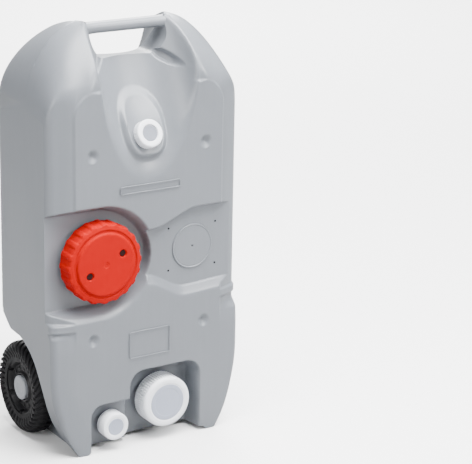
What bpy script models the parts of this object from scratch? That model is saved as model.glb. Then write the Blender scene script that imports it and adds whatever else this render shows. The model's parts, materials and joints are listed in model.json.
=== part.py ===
"""Wheeled waste tote of the 40 litre class: a blow-moulded tank that stands on two front feet and two wheels.

Metres, +Z up, the tank's front faces -Y. The origin is on the ground, under the middle of the whole object.
A depth in this script is measured backwards from the tank's flat front panel.
"""

import math

import bmesh
import bpy
from mathutils import Matrix, Vector

# Driving dimensions
CROWN_Z = 0.772
HALF_WIDTH = 0.192
BODY_DEPTH = 0.213
OVERALL_DEPTH = 0.261
WALL = 0.0040
GAP = 0.0003
FAR = 0.30

# Front panel and wheel axis, placed so that the whole depth is centred on the origin
INLET_PROUD = 0.0110
FRONT_Y = INLET_PROUD - OVERALL_DEPTH / 2
WHEEL_RADIUS = 0.086
AXLE_Y = OVERALL_DEPTH / 2 - WHEEL_RADIUS
AXLE_Z = WHEEL_RADIUS

# Outline of the tank, seen from the front
BOTTOM_Z = 0.008
FOOT_TIP_X = 0.135
SIDE_FULL_Z = 0.160
SIDE_TAPER = 0.0445
SHOULDER_Z = 0.600
SHOULDER_CENTRE_X = 0.050
SHOULDER_SQUARENESS = 2.3
NOTCH_X = 0.066

# Recessed band across the middle of the front
INLET = Vector((-0.094, 0.357))
GAUGE = Vector((0.094, 0.357))
INLET_RECESS_RADIUS = 0.104
INLET_RECESS_DEPTH = 0.035
GAUGE_RECESS_RADIUS = 0.080
GAUGE_RECESS_DEPTH = 0.014
GAUGE_DISC_RADIUS = 0.041

# Pockets for the two bottom ports: left edge, right edge, top, depth
DRAIN_POCKET = (-0.039, 0.108, 0.142, 0.045)
OUTLET_POCKET = (-0.120, -0.030, 0.092, 0.028)
POCKET_CORNER = 0.026

# Wheel wells and wheels
WELL_INNER_X = 0.131
WELL_RADIUS = 0.1165
TUNNEL_RADIUS = 0.0068
AXLE_RADIUS = 0.006
AXLE_HALF_LENGTH = 0.1755
TYRE_INNER_X = 0.1375
TYRE_OUTER_X = 0.1845
RIM_RADIUS = 0.0600
HUB_CAP_RADIUS = 0.0225

# Handle and hand hole
GRIP_Z = 0.7535
GRIP_DEPTH = 0.100
GRIP_RADIUS = 0.0115
SADDLE_Z = 0.700

GREY = (0.42, 0.43, 0.45, 1)
RED = (0.76, 0.045, 0.03, 1)
WHITE = (0.75, 0.76, 0.80, 1)
BLACK = (0.018, 0.018, 0.02, 1)
SEAL_GREY = (0.05, 0.05, 0.055, 1)
STEEL = (0.55, 0.56, 0.58, 1)
NATURAL = (0.70, 0.70, 0.66, 1)
CAP_GREY = (0.50, 0.51, 0.54, 1)


def clear_scene():
    for found in list(bpy.data.objects):
        bpy.data.objects.remove(found)


def new_collection(name):
    made = bpy.data.collections.new(name)
    bpy.context.scene.collection.children.link(made)
    return made


def new_material(name, colour, roughness, metallic=0.0):
    made = bpy.data.materials.new(name)
    made.use_nodes = True
    shader = made.node_tree.nodes["Principled BSDF"]
    shader.inputs["Base Color"].default_value = colour
    shader.inputs["Roughness"].default_value = roughness
    shader.inputs["Metallic"].default_value = metallic
    made.diffuse_color = colour
    return made


def keep(bm, name, material=None):
    """Turns a bmesh into a named object: a part if it has a material, and otherwise a cutter."""
    bmesh.ops.recalc_face_normals(bm, faces=bm.faces)
    mesh = bpy.data.meshes.new(name)
    bm.to_mesh(mesh)
    bm.free()
    made = bpy.data.objects.new(name, mesh)
    if material is None:
        CUTTERS.objects.link(made)
        made.hide_render = True
        made.display_type = "WIRE"
    else:
        PARTS.objects.link(made)
        mesh.materials.append(material)
        mesh.shade_smooth()
        mesh.set_sharp_from_angle(angle=math.radians(35))
    return made


def bmesh_of(source):
    """The evaluated shape of an object as a welded bmesh in world space. The object is removed."""
    graph = bpy.context.evaluated_depsgraph_get()
    mesh = bpy.data.meshes.new_from_object(source.evaluated_get(graph))
    mesh.transform(source.matrix_world)
    bm = bmesh.new()
    bm.from_mesh(mesh)
    bmesh.ops.remove_doubles(bm, verts=bm.verts, dist=1e-5)
    bpy.data.objects.remove(source)
    bpy.data.meshes.remove(mesh)
    return bm


# Axes of a flat outline: its own x, y and thickness directions in the world
SEEN_FROM_FRONT = Matrix(((1, 0, 0, 0), (0, 0, -1, 0), (0, 1, 0, 0), (0, 0, 0, 1)))
SEEN_FROM_SIDE = Matrix(((0, 0, 1, 0), (1, 0, 0, 0), (0, 1, 0, 0), (0, 0, 0, 1)))


def prism(name, outline, seen_from, low, high, material=None):
    """A flat outline given a thickness, low to high along Y (seen from the front) or X (from the side)."""
    curve = bpy.data.curves.new(name, "CURVE")
    curve.dimensions = "2D"
    curve.fill_mode = "BOTH"
    curve.extrude = (high - low) / 2
    spline = curve.splines.new("POLY")
    spline.points.add(len(outline) - 1)
    for point, (u, v) in zip(spline.points, outline):
        point.co = (u, v, 0, 1)
    spline.use_cyclic_u = True
    flat = bpy.data.objects.new(name, curve)
    bpy.context.scene.collection.objects.link(flat)
    middle = (low + high) / 2
    shift = Vector((0, middle, 0)) if seen_from is SEEN_FROM_FRONT else Vector((middle, 0, 0))
    flat.matrix_world = Matrix.Translation(shift) @ seen_from
    bpy.context.view_layer.update()
    return keep(bmesh_of(flat), name, material)


def arc(centre, radius, start, end, steps):
    """Points on an arc, angles in degrees from the first axis."""
    angles = [math.radians(start + (end - start) * i / steps) for i in range(steps + 1)]
    return [(centre[0] + radius * math.cos(a), centre[1] + radius * math.sin(a)) for a in angles]


def modify(target, other, operation):
    step = target.modifiers.new(operation.lower() + "_" + other.name, "BOOLEAN")
    step.operation = operation
    step.object = other
    step.solver = "EXACT"


def weld(target):
    """Closes the hairline cracks that a Boolean can leave."""
    step = target.modifiers.new("weld", "WELD")
    step.merge_threshold = 2e-5


def turned(name, profile, steps, placing, material=None):
    """A closed turned shape about local Z: (radius, height) points run up the inside, down the outside."""
    bm = bmesh.new()
    ring = [bm.verts.new((radius, 0, height)) for radius, height in profile]
    edges = [bm.edges.new((ring[i], ring[(i + 1) % len(ring)])) for i in range(len(ring))]
    bmesh.ops.spin(bm, geom=ring + edges, axis=(0, 0, 1), cent=(0, 0, 0), angle=2 * math.pi,
                   steps=steps, use_merge=True)
    bmesh.ops.remove_doubles(bm, verts=bm.verts, dist=1e-6)
    bmesh.ops.transform(bm, matrix=placing, verts=bm.verts)
    return keep(bm, name, material)


def turned_solid(name, profile, steps, placing, material=None, ribs=0, rib_height=0.0):
    """A turned shape with no bore: the profile starts and ends on the axis, and ribs stand on its wall."""
    bm = bmesh.new()
    line = [bm.verts.new((radius, 0, height)) for radius, height in profile]
    edges = [bm.edges.new(pair) for pair in zip(line, line[1:])]
    bmesh.ops.spin(bm, geom=line + edges, axis=(0, 0, 1), cent=(0, 0, 0), angle=2 * math.pi,
                   steps=steps, use_merge=True)
    bmesh.ops.remove_doubles(bm, verts=bm.verts, dist=1e-6)
    bmesh.ops.dissolve_degenerate(bm, dist=1e-7, edges=bm.edges)
    widest = max(radius for radius, _ in profile)
    for vert in bm.verts:
        step = round(math.atan2(vert.co.y, vert.co.x) / (2 * math.pi) * steps)
        if ribs and math.hypot(vert.co.x, vert.co.y) > widest - 0.0001 and step % (steps // ribs) < 2:
            grown = (widest + rib_height) / widest
            vert.co.x *= grown
            vert.co.y *= grown
    bmesh.ops.transform(bm, matrix=placing, verts=bm.verts)
    return keep(bm, name, material)


def helix(name, radius, lead, turns, start_height, thickness, placing, steps=24):
    """A round right-hand thread ridge about local Z."""
    curve = bpy.data.curves.new(name, "CURVE")
    curve.dimensions = "3D"
    curve.bevel_depth = thickness
    curve.bevel_resolution = 1
    curve.use_fill_caps = True
    count = round(turns * steps) + 1
    spline = curve.splines.new("POLY")
    spline.points.add(count - 1)
    for i, point in enumerate(spline.points):
        angle = 2 * math.pi * i / steps + math.radians(4)
        height = start_height + lead * i / steps
        point.co = (radius * math.cos(angle), radius * math.sin(angle), height, 1)
    wire = bpy.data.objects.new(name, curve)
    bpy.context.scene.collection.objects.link(wire)
    wire.matrix_world = placing
    bpy.context.view_layer.update()
    return keep(bmesh_of(wire), name)


# ---- Tank -------------------------------------------------------------------------------------


def half_width(z):
    """Half of the tank's width at a height, below the shoulders."""
    if z >= SIDE_FULL_Z:
        return HALF_WIDTH
    return HALF_WIDTH - SIDE_TAPER * ((SIDE_FULL_Z - z) / SIDE_FULL_Z) ** 2.2


def half_outline():
    """Right half of the front outline, bottom to top: the shoulder is a squared-off quarter of an ellipse."""
    points = [(0.0, BOTTOM_Z), (0.112, BOTTOM_Z), (0.122, 0.003), (0.129, 0.0), (0.141, 0.0)]
    points += [(half_width(z), z) for z in (0.006, 0.020, 0.040, 0.065, 0.095, 0.130, SIDE_FULL_Z)]
    points += [(HALF_WIDTH, z) for z in (0.25, 0.35, 0.45, 0.54)]
    reach, rise = HALF_WIDTH - SHOULDER_CENTRE_X, CROWN_Z - SHOULDER_Z
    for i in range(13):
        angle = math.radians(82) * i / 12
        across = math.cos(angle) ** (2 / SHOULDER_SQUARENESS)
        up = math.sin(angle) ** (2 / SHOULDER_SQUARENESS)
        points.append((SHOULDER_CENTRE_X + reach * across, SHOULDER_Z + rise * up))
    points += [(NOTCH_X - 0.006, CROWN_Z - 0.006), (0.0, CROWN_Z - 0.006)]
    return points


# How the outline changes with depth: (depth, inset of the sides, height of the top)
SECTIONS = (
    (0.000, 0.034, 0.648),
    (0.007, 0.024, 0.667),
    (0.018, 0.003, 0.6925),
    (0.032, 0.000, 0.7165),
    (0.060, 0.000, 0.748),
    (0.085, 0.000, 0.7645),
    (0.110, 0.000, 0.772),
    (0.145, 0.000, 0.7655),
    (0.180, 0.000, 0.750),
    (0.200, 0.003, 0.735),
    (BODY_DEPTH, 0.014, 0.7145),
)


def tank_blank(name, wall, material=None):
    """Loft of the front outline through the sections. A wall over 0 gives the shape inset by that much."""
    half = half_outline()
    bm = bmesh.new()
    rings = []
    for depth, inset, top in SECTIONS:
        depth = min(max(depth, wall), BODY_DEPTH - wall)
        narrow = 1 - (inset + wall) / HALF_WIDTH
        lift = (top - wall - SHOULDER_Z) / (CROWN_Z - SHOULDER_Z)
        ring = []
        for x, z in half + [(-x, z) for x, z in half[-2:0:-1]]:
            if z > SHOULDER_Z:
                z = SHOULDER_Z + (z - SHOULDER_Z) * lift
            ring.append(bm.verts.new((x * narrow, FRONT_Y + depth, max(z, BOTTOM_Z + wall if wall else z))))
        rings.append(ring)
        edges = [bm.edges.new((ring[i], ring[(i + 1) % len(ring)])) for i in range(len(ring))]
        if len(rings) > 1:
            bmesh.ops.bridge_loops(bm, edges=edges + previous)
        previous = edges
    bm.faces.new(rings[0])
    bm.faces.new(rings[-1])
    bmesh.ops.remove_doubles(bm, verts=bm.verts, dist=1e-5)
    return keep(bm, name, material)


def band_outline(centre, radius, side, grow):
    """A round recess that runs out at one side of the tank: side is -1 for left and 1 for right."""
    radius += grow
    start, end = (90, -90) if side < 0 else (-90, -270)
    edge = side * FAR
    flat = [(edge, centre.y - radius), (edge, centre.y + radius)][:: -side]
    return flat + arc(centre, radius, start, end, 20)


def pocket_outline(pocket, grow):
    """A pocket that is open at the bottom and has two rounded top corners."""
    left, right, top, _ = pocket
    left, right, top = left - grow, right + grow, top + grow
    corner = POCKET_CORNER
    points = [(left, -FAR / 2)]
    points += arc((left + corner, top - corner), corner, 180, 90, 5)
    points += arc((right - corner, top - corner), corner, 90, 0, 5)
    return points + [(right, -FAR / 2)]


def well_outline(grow):
    """The wheel well from the side: round over the wheel, flared at the back and down to the foot's tip."""
    points = arc((AXLE_Y, AXLE_Z), WELL_RADIUS + grow, 75, 180, 14)
    foot = ((0.045, 0.045), (0.035, 0.029), (0.012, -0.010))
    points += [(FRONT_Y + depth - grow, z) for depth, z in foot]
    points += [(FAR, -0.010), (FAR, 0.285 + grow), (FRONT_Y + BODY_DEPTH + 0.002, 0.240 + 1.5 * grow)]
    return points


def heel_outline(grow):
    """What is rounded off the tank's lower back edge, so that it clears the ground when it is tipped."""
    axle = (AXLE_Y, AXLE_Z)
    reach = BODY_DEPTH + FRONT_Y - AXLE_Y + 0.012 - grow
    points = arc(axle, reach, 12, -95, 10)
    return points + [(AXLE_Y, -0.05), (FAR, -0.05), (FAR, points[0][1])]


def grip_outline(grow):
    """The gap between the shoulders, seen from the front."""
    half = [(0.0, SADDLE_Z - grow), (0.050 + grow / 2, SADDLE_Z - grow), (0.070 + grow, SADDLE_Z + 0.012)]
    half += [(0.080 + grow, SADDLE_Z + 0.036), (0.074 + grow, SADDLE_Z + 0.060)]
    half += [(NOTCH_X + 0.004 + grow, 0.85)]
    return half + [(-x, z) for x, z in half[:0:-1]]


def tilted_cylinder(name, bottom, top, radius, grow):
    """A trough cutter: a cylinder whose lowest line runs from bottom to top, both (depth, height), at x 0."""
    low = Vector((0, FRONT_Y + bottom[0], bottom[1]))
    high = Vector((0, FRONT_Y + top[0], top[1]))
    along = (high - low).normalized()
    outward = along.cross(Vector((1, 0, 0)))
    if outward.z < 0:
        outward.negate()
    radius += grow
    centre = (low + high) / 2 + outward * (radius - grow)
    placing = Matrix.Translation(centre) @ along.to_track_quat("Z", "Y").to_matrix().to_4x4()
    bm = bmesh.new()
    bmesh.ops.create_cone(bm, cap_ends=True, segments=40, radius1=radius, radius2=radius, depth=0.7,
                          matrix=placing)
    return keep(bm, name)


def cut_features(tank, tag, grow):
    """Cuts the recesses into the tank, or, grown by the wall, into its cavity."""
    front = FRONT_Y - 0.05
    cutters = [
        prism(tag + "_inlet_recess", band_outline(INLET, INLET_RECESS_RADIUS, -1, grow), SEEN_FROM_FRONT,
              front, FRONT_Y + INLET_RECESS_DEPTH + grow),
        prism(tag + "_gauge_recess", band_outline(GAUGE, GAUGE_RECESS_RADIUS, 1, grow), SEEN_FROM_FRONT,
              front, FRONT_Y + GAUGE_RECESS_DEPTH + grow),
        prism(tag + "_drain_pocket", pocket_outline(DRAIN_POCKET, grow), SEEN_FROM_FRONT,
              front, FRONT_Y + DRAIN_POCKET[3] + grow),
        prism(tag + "_outlet_pocket", pocket_outline(OUTLET_POCKET, grow), SEEN_FROM_FRONT,
              front, FRONT_Y + OUTLET_POCKET[3] + grow),
        prism(tag + "_heel", heel_outline(grow), SEEN_FROM_SIDE, -FAR, FAR),
        prism(tag + "_grip_gap", grip_outline(grow), SEEN_FROM_FRONT, front, FAR),
        tilted_cylinder(tag + "_valley", (0.000, 0.505), (0.100, SADDLE_Z), 0.100, grow),
        tilted_cylinder(tag + "_back_valley", (0.212, 0.610), (0.112, SADDLE_Z + 0.004), 0.110, grow),
    ]
    for side, name in ((-1, "_left_well"), (1, "_right_well")):
        low, high = sorted((side * (WELL_INNER_X - grow), side * FAR))
        cutters.append(prism(tag + name, well_outline(grow), SEEN_FROM_SIDE, low, high))
    for cutter in cutters:
        modify(tank, cutter, "DIFFERENCE")


# Each port: place of the neck's root, direction it points, and its sizes
PORTS = {
    "inlet": {
        "root": Vector((INLET.x, FRONT_Y + INLET_RECESS_DEPTH, INLET.y)), "tilt": 0, "neck": 0.0600,
        "reach": 0.0340, "cap": 0.0715, "height": 0.0365, "lead": 0.008, "thread": 0.0019,
    },
    "drain": {
        "root": Vector((0.038, FRONT_Y + DRAIN_POCKET[3], 0.0705)), "tilt": 0, "neck": 0.0400,
        "reach": 0.0370, "cap": 0.0478, "height": 0.0375, "lead": 0.008, "thread": 0.0017,
    },
    "outlet": {
        "root": Vector((-0.0715, FRONT_Y + OUTLET_POCKET[3], 0.0468)), "tilt": 0, "neck": 0.0195,
        "reach": 0.0270, "cap": 0.0265, "height": 0.0250, "lead": 0.006, "thread": 0.0015,
    },
    "vent": {
        "root": Vector((0.0, FRONT_Y + 0.0300, 0.5675)), "tilt": 24, "neck": 0.0180,
        "reach": 0.0245, "cap": 0.0250, "height": 0.0230, "lead": 0.006, "thread": 0.0015,
    },
}
NECK_WALL = 0.0040
CAP_WALL = 0.0026
SEAL_THICKNESS = 0.0030
THREAD_TURNS = 1.25
RIB_HEIGHT = 0.0022


def port_placing(port):
    """Local Z points out of the neck, and the origin is on the wall that the neck stands on."""
    return Matrix.Translation(port["root"]) @ Matrix.Rotation(math.radians(90 - port["tilt"]), 4, "X")


def add_neck(tank, name, port):
    """Joins a threaded neck to the tank and bores it through to the cavity."""
    placing = port_placing(port)
    outer, top = port["neck"], port["reach"]
    root = -0.0025 if port["tilt"] == 0 else -0.055
    neck = [(outer - 0.0005, root), (outer, root + 0.001), (outer, top - 0.001), (outer - 0.001, top)]
    modify(tank, turned_solid(name + "_neck", [(0, root)] + neck + [(0, top)], 40, placing), "UNION")
    start = top - port["lead"] * (THREAD_TURNS + 0.35)
    thread = helix(name + "_neck_thread", outer, port["lead"], THREAD_TURNS, start, port["thread"], placing)
    modify(tank, thread, "UNION")
    bore = outer - NECK_WALL
    return turned_solid(name + "_bore", [(0, -0.03), (bore, -0.03), (bore, top + 0.02), (0, top + 0.02)], 36,
                        placing @ Matrix.Rotation(math.radians(3), 4, "Z"))


def make_tank(material):
    cavity = tank_blank("tank_cavity", WALL)
    cut_features(cavity, "cavity", WALL)
    tunnel_wall = turned_solid("tunnel_wall", [(0, -FAR), (TUNNEL_RADIUS + WALL, -FAR),
                                               (TUNNEL_RADIUS + WALL, FAR), (0, FAR)], 24, ACROSS)
    modify(cavity, tunnel_wall, "DIFFERENCE")

    tank = tank_blank("tank_shell", 0.0, material)
    cut_features(tank, "tank", 0.0)
    placing = Matrix.Translation((0, FRONT_Y + GRIP_DEPTH, GRIP_Z)) @ Matrix.Rotation(math.pi / 2, 4, "Y")
    reach = 0.092
    grip = turned_solid("grip_bar", [(0, -reach), (GRIP_RADIUS, -reach), (GRIP_RADIUS, reach), (0, reach)],
                        20, placing)
    modify(tank, grip, "UNION")
    gauge = turned_solid("gauge_disc", [(0, -0.004), (GAUGE_DISC_RADIUS, -0.004), (GAUGE_DISC_RADIUS, 0.0012),
                                        (0, 0.0012)], 40,
                         Matrix.Translation((GAUGE.x, FRONT_Y + GAUGE_RECESS_DEPTH, GAUGE.y))
                         @ Matrix.Rotation(math.pi / 2, 4, "X"))
    modify(tank, gauge, "UNION")
    bores = [add_neck(tank, name, port) for name, port in PORTS.items()]
    modify(tank, cavity, "DIFFERENCE")
    for bore in bores:
        modify(tank, bore, "DIFFERENCE")
    tunnel = turned_solid("axle_tunnel", [(0, -FAR), (TUNNEL_RADIUS, -FAR), (TUNNEL_RADIUS, FAR), (0, FAR)],
                          24, ACROSS)
    modify(tank, tunnel, "DIFFERENCE")
    weld(tank)


# ---- Screw caps -------------------------------------------------------------------------------


def make_cap(name, port, material, seal_material, ribs):
    """A screw cap with an inside thread, and the seal that it presses on the neck's rim."""
    placing = port_placing(port)
    outer, rim, crown = port["cap"], port["reach"], port["height"] + 0.0075
    inner = port["neck"] + port["thread"] + 0.0011
    base = crown - port["height"]
    seal_top = rim + GAP + SEAL_THICKNESS
    deck = seal_top + GAP
    profile = [(0, deck), (inner, deck), (inner, base), (outer - 0.0015, base), (outer, base + 0.0015)]
    profile += [(outer, crown - 0.006), (outer - 0.002, crown - 0.0018), (outer - 0.006, crown)]
    if ribs:
        step = outer - 0.019
        profile += [(step + 0.002, crown), (step, crown + 0.0020), (0, crown + 0.0020)]
    else:
        dish = outer * 0.60
        profile += [(dish + 0.001, crown), (dish, crown - 0.0012), (0, crown - 0.0012)]
    steps = 4 * ribs if ribs else 40
    cap = turned_solid(name + "_cap", profile, steps, placing, material, ribs, RIB_HEIGHT)
    start = rim - port["lead"] * (THREAD_TURNS + 0.35) + port["lead"] / 2
    thread = helix(name + "_cap_thread", inner + 0.0002, port["lead"], THREAD_TURNS - 0.25, start,
                   port["thread"], placing)
    modify(cap, thread, "UNION")
    if ribs:
        for side in (-1, 1):
            angle = math.radians(27) + (math.pi if side < 0 else 0)
            reach = 0.0365
            at = Matrix.Translation((reach * math.cos(angle), reach * math.sin(angle), crown + 0.0020))
            hole = [(0, -0.0031), (0.0048, -0.0031), (0.0048, 0.01), (0, 0.01)]
            socket = turned_solid(f"{name}_key_hole_{side}", hole, 16, placing @ at)
            modify(cap, socket, "DIFFERENCE")
    weld(cap)
    seal_inner = port["neck"] - NECK_WALL - 0.0010
    seal_outer = port["neck"] + 0.0006
    turned(name + "_seal", [(seal_inner, rim + GAP), (seal_inner, seal_top), (seal_outer, seal_top),
                            (seal_outer, rim + GAP)], 32, placing, seal_material)


# ---- Wheels -----------------------------------------------------------------------------------

ACROSS = Matrix.Translation((0, AXLE_Y, AXLE_Z)) @ Matrix.Rotation(math.pi / 2, 4, "Y")
HUB_BORE = 0.0090
HUB_INNER_X = TYRE_INNER_X + 0.001
HUB_OUTER_X = 0.1680
FLANGE = 0.0016
CLIP_THICKNESS = 0.0012


def wheel_placing(side):
    """Local Z runs along the axle, away from the tank."""
    return Matrix.Translation((0, AXLE_Y, AXLE_Z)) @ Matrix.Rotation(side * math.pi / 2, 4, "Y")


def make_wheel(side, name, looks):
    placing = wheel_placing(side)
    middle = (TYRE_INNER_X + TYRE_OUTER_X) / 2
    web_in, web_out = 0.1600, 0.1655
    rim = [
        (HUB_BORE, HUB_INNER_X), (HUB_BORE, HUB_OUTER_X), (0.0150, HUB_OUTER_X), (0.0168, web_out + 0.0010),
        (HUB_CAP_RADIUS + 0.0012, web_out + 0.0010), (HUB_CAP_RADIUS + 0.0012, 0.1745),
        (HUB_CAP_RADIUS + 0.0052, 0.1745), (HUB_CAP_RADIUS + 0.0080, web_out + 0.0020),
        (0.0480, web_out + 0.0010), (0.0520, 0.1770), (RIM_RADIUS, 0.1780),
        (RIM_RADIUS, TYRE_INNER_X + 0.004), (0.0550, TYRE_INNER_X + 0.004), (0.0520, web_in - 0.004),
        (0.0480, web_in), (0.0190, web_in), (0.0165, web_in - 0.003), (0.0150, HUB_INNER_X),
    ]
    turned(name + "_rim", rim, 40, placing, looks["rim"])
    inside = RIM_RADIUS + GAP + 0.0002
    tyre = [
        (inside, TYRE_INNER_X + 0.003), (inside, TYRE_OUTER_X - 0.003), (0.0640, TYRE_OUTER_X - 0.0008),
        (0.0700, TYRE_OUTER_X), (0.0780, TYRE_OUTER_X - 0.0030), (0.0835, TYRE_OUTER_X - 0.0090),
        (WHEEL_RADIUS, middle + 0.0080), (WHEEL_RADIUS, middle - 0.0080), (0.0835, TYRE_INNER_X + 0.0090),
        (0.0780, TYRE_INNER_X + 0.0030), (0.0700, TYRE_INNER_X), (0.0640, TYRE_INNER_X + 0.0008),
    ]
    turned(name + "_tyre", tyre, 48, placing, looks["tyre"])
    bush_bore, bush_outer, flange = AXLE_RADIUS + 0.00035, HUB_BORE - 0.00035, 0.0125
    inner_face = HUB_INNER_X - GAP
    turned(name + "_inner_bush", [
        (bush_bore, inner_face - FLANGE), (bush_bore, HUB_INNER_X + 0.010), (bush_outer, HUB_INNER_X + 0.010),
        (bush_outer, inner_face), (flange, inner_face), (flange, inner_face - FLANGE),
    ], 24, placing, looks["bush"])
    outer_face = HUB_OUTER_X + GAP
    turned(name + "_outer_bush", [
        (bush_bore, HUB_OUTER_X - 0.010), (bush_bore, outer_face + FLANGE), (flange, outer_face + FLANGE),
        (flange, outer_face), (bush_outer, outer_face), (bush_outer, HUB_OUTER_X - 0.010),
    ], 24, placing, looks["bush"])
    washer_low, washer_high = WELL_INNER_X + GAP, inner_face - FLANGE - GAP
    turned(name + "_spacer", [(bush_bore, washer_low), (bush_bore, washer_high), (0.0105, washer_high),
                              (0.0105, washer_low)], 24, placing, looks["bush"])
    washer_low = outer_face + FLANGE + GAP
    washer_high = washer_low + 0.0012
    turned(name + "_washer", [(bush_bore, washer_low), (bush_bore, washer_high), (0.0110, washer_high),
                              (0.0110, washer_low)], 24, placing, looks["steel"])
    clip_low = washer_high + GAP
    turned(name + "_axle_clip", [
        (bush_bore, clip_low + CLIP_THICKNESS), (bush_bore, clip_low + 2 * CLIP_THICKNESS),
        (0.0085, clip_low + CLIP_THICKNESS), (0.0098, clip_low + CLIP_THICKNESS), (0.0098, clip_low),
        (0.0080, clip_low),
    ], 24, placing, looks["steel"])
    cap_low, crown = web_out + 0.0010 + GAP, 0.1800
    turned_solid(name + "_hub_cap", [
        (0, crown - 0.0022), (HUB_CAP_RADIUS - 0.0025, crown - 0.0022), (HUB_CAP_RADIUS - 0.0025, cap_low),
        (HUB_CAP_RADIUS, cap_low), (HUB_CAP_RADIUS, crown - 0.0030),
        (HUB_CAP_RADIUS - 0.0030, crown - 0.0004), (0, crown),
    ], 32, placing, looks["hub_cap"])


def make_axle(material):
    reach, chamfer = AXLE_HALF_LENGTH, 0.001
    turned_solid("axle", [(0, -reach), (AXLE_RADIUS - chamfer, -reach), (AXLE_RADIUS, chamfer - reach),
                          (AXLE_RADIUS, reach - chamfer), (AXLE_RADIUS - chamfer, reach), (0, reach)],
                 24, ACROSS, material)


clear_scene()
PARTS = new_collection("waste_tote")
CUTTERS = new_collection("cutters")

make_tank(new_material("tank_plastic", GREY, 0.42))
red = new_material("inlet_cap_plastic", RED, 0.38)
white = new_material("white_cap_plastic", WHITE, 0.40)
seal = new_material("seal_rubber", SEAL_GREY, 0.70)
make_cap("inlet", PORTS["inlet"], red, seal, 16)
for port_name in ("drain", "outlet", "vent"):
    make_cap(port_name, PORTS[port_name], white, seal, 0)
wheel_looks = {
    "rim": new_material("wheel_plastic", BLACK, 0.45),
    "tyre": new_material("tyre_rubber", BLACK, 0.65),
    "bush": new_material("bush_nylon", NATURAL, 0.40),
    "steel": new_material("zinc_plated_steel", STEEL, 0.30, 1.0),
    "hub_cap": new_material("hub_cap_plastic", CAP_GREY, 0.40),
}
make_wheel(-1, "left_wheel", wheel_looks)
make_wheel(1, "right_wheel", wheel_looks)
make_axle(wheel_looks["steel"])
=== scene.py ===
"""Blender add-on that builds the looks of a wheeled waste tote round its fixed, jointed frame.

Metres, +Z up, the front faces -Y. A depth is measured backwards from the tank's flat front panel, and
the surfaces are functions of two parameters, worked out on whole arrays.
"""

import json
import math

import bpy
import numpy as np
from mathutils import Matrix, Vector

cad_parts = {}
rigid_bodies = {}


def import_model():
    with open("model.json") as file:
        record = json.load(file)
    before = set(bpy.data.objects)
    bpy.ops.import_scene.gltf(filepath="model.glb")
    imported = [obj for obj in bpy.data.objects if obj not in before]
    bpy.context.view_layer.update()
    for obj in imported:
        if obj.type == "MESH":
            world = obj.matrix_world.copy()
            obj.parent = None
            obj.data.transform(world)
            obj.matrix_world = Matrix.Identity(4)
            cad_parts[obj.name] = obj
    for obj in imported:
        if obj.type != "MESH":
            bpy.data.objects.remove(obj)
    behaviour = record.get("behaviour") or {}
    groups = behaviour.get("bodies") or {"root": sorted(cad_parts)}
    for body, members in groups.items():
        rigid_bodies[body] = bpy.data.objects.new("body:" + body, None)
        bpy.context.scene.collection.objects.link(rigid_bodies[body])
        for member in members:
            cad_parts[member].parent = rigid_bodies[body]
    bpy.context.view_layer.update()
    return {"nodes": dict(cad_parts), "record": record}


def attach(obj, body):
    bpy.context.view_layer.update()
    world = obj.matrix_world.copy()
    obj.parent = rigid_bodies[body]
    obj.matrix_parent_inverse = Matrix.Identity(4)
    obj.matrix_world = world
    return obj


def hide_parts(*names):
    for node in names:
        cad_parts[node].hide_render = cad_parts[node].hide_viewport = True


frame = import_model()

bl_info = {
    "name": "Waste Tote Builder",
    "version": (1, 0, 0),
    "blender": (4, 5, 0),
    "location": "3D View > Sidebar > Waste Tote",
    "description": "Builds the tank, caps, wheels and studio of a wheeled waste tote",
    "category": "Object",
}

# Places and sizes shared with the frame
FRONT_Y = -0.1195
BODY_DEPTH = 0.213
HALF_WIDTH = 0.192
AXLE = Vector((0.0, 0.0445, 0.086))
WHEEL_RADIUS = 0.086
INLET = (-0.094, 0.357)
GAUGE = (0.094, 0.357)
GRIP_DEPTH = 0.100
GRIP_Z = 0.7535
NECK_WALL = 0.0040
SEAL_THICKNESS = 0.0030
GAP = 0.0003

# The arch of the shoulders: where it starts, how far it reaches and rises, and how square it is
SHOULDER_Z = 0.600
SHOULDER_X = 0.050
SHOULDER_REACH = 0.142
SHOULDER_RISE = 0.1715
SQUARENESS = 2.3

# The tank's outline and what is sunk into it; depths are behind FRONT_Y
LEG_TOP = 0.160
LEG_DRAW_IN = 0.050
PATCH_TOP = 0.712
NOTCH_FLOOR = 0.700
NOTCH_EDGE_X = 0.0910
NOTCH_SHARE = 0.56
PARTING = 0.105
LEAST_WALL = 0.004
RECESS_RADIUS = 0.105
RECESS_DEPTH = 0.035
GAUGE_DEPTH = 0.014
HEEL_DEPTH = 0.1645
WELL_RADIUS = 0.1165
WELL_INNER_X = 0.131
WELL_TOP = 0.1985
WELL_FADE = 0.040

# How finely the tank is cut up, and how much its grid lines crowd towards the outline
GRID_COLUMNS = 300
GRID_ROWS = 560
CROWDING_ACROSS = 0.30
CROWDING_UP = 0.12
BAND_ROWS = 13

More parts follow.
